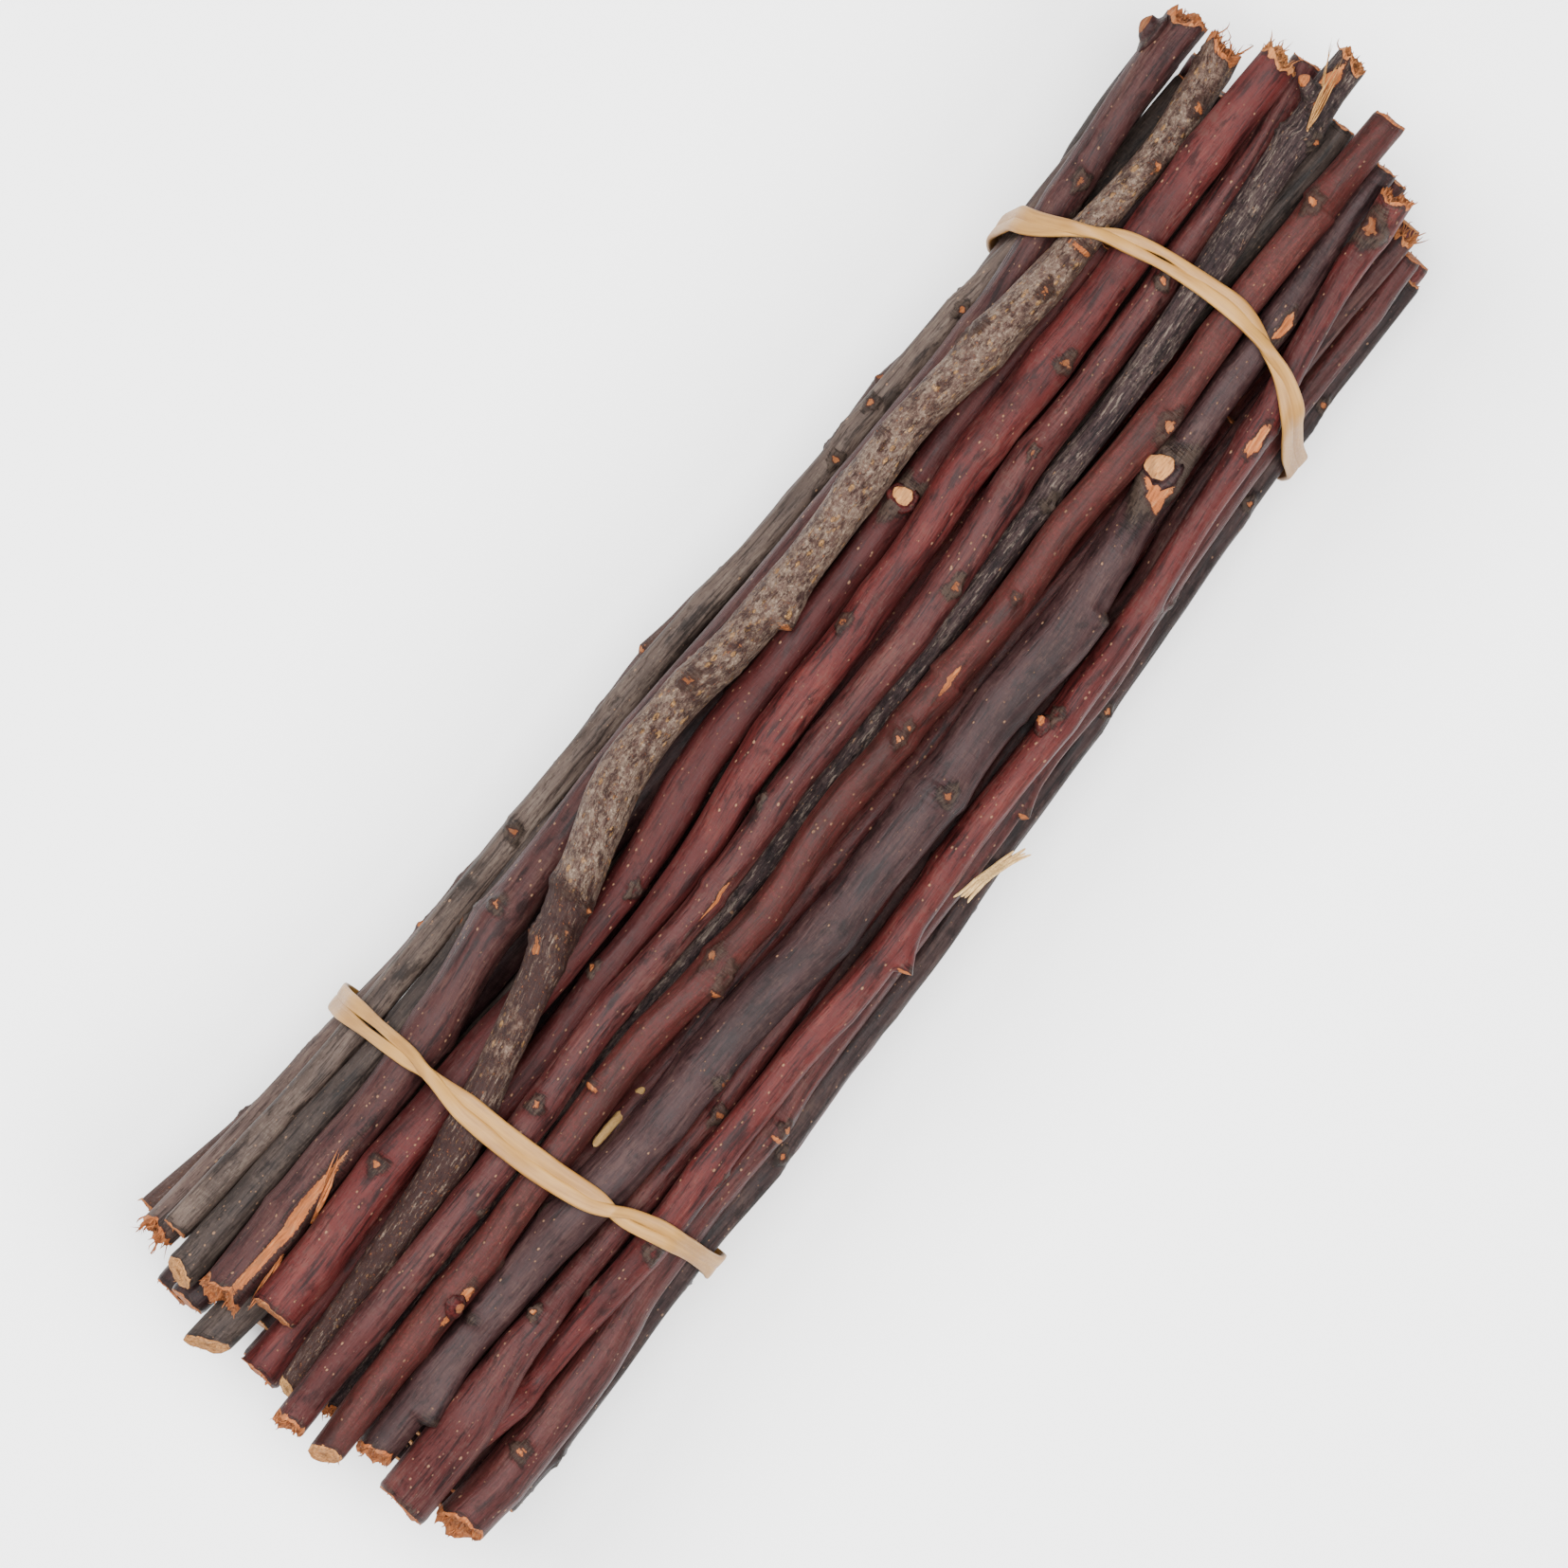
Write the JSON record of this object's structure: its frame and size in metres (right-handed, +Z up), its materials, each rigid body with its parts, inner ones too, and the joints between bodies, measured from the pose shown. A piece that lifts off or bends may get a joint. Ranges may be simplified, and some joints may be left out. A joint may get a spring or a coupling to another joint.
{
  "type": "bundle of twigs",
  "caption": "Bundle of cut twigs held by two rubber bands, lying on its side, with torn and clean-cut ends, knots and the stubs of side shoots.",
  "frame": {"origin": "middle of the outline, on the plane that the two bands rest on", "axes": "+X along the twigs towards the picture's upper right, +Y across them towards the picture's upper left, +Z up"},
  "size_m": [0.1806, 0.052, 0.0328],
  "materials": {
    "bark_red": "red-brown bark, satin, with small pale dots and orange-brown knots",
    "bark_red_brown": "dark red-brown bark, satin, faint lengthwise streaks",
    "bark_dark": "nearly black bark, dull",
    "bark_purple": "smooth purple-grey bark, satin",
    "bark_brown": "brown bark, dull, lengthwise streaks",
    "bark_grey": "slate to grey-brown bark, dull",
    "bark_rough": "rough dark bark with light grey streaks",
    "bark_lichen": "grey lichen crust with ochre oval dots over purple-brown bark",
    "rubber_band": "tan natural rubber, matt",
    "pale_wood": "bare pale wood fibre"
  },
  "bodies": {
    "root": {"rubber_band_left": "rubber_band", "rubber_band_right": "rubber_band", "twig_bright_red": "bark_red", "twig_edge_brown": "bark_brown", "twig_edge_dark": "bark_dark", "twig_edge_dark_red": "bark_red_brown", "twig_edge_grey": "bark_grey", "twig_edge_red": "bark_red_brown", "twig_forked_stem": "bark_red_brown", "twig_grey_green": "bark_grey", "twig_grey_slant": "bark_grey", "twig_inner_01": "bark_brown", "twig_inner_02": "bark_grey", "twig_inner_03": "bark_red", "twig_inner_04": "bark_red", "twig_inner_05": "bark_purple", "twig_inner_06": "bark_red", "twig_inner_07": "bark_red", "twig_inner_08": "bark_brown", "twig_inner_09": "bark_red_brown", "twig_inner_10": "bark_brown", "twig_inner_11": "bark_brown", "twig_inner_12": "bark_red", "twig_inner_13": "bark_red", "twig_inner_14": "bark_red", "twig_inner_15": "bark_purple", "twig_inner_16": "bark_brown", "twig_inner_17": "bark_brown", "twig_inner_18": "bark_purple", "twig_inner_19": "bark_red", "twig_inner_20": "bark_purple", "twig_inner_21": "bark_purple", "twig_inner_22": "bark_red", "twig_inner_23": "bark_purple", "twig_inner_24": "bark_red", "twig_inner_25": "bark_red", "twig_inner_26": "bark_brown", "twig_inner_27": "bark_red", "twig_inner_28": "bark_grey", "twig_lichen": "bark_lichen", "twig_purple_end": "bark_purple", "twig_red_centre": "bark_red_brown", "twig_red_end": "bark_red_brown", "twig_red_lower": "bark_red", "twig_red_upper": "bark_red", "twig_rough_bark": "bark_rough", "twig_side_branch": "bark_red", "twig_slate": "bark_grey", "twig_smooth_stout": "bark_purple", "twig_split_end": "bark_brown", "twig_torn_tip": "bark_brown", "wood_sliver_edge": "pale_wood", "wood_sliver_middle": "pale_wood"}
  },
  "joints": []
}
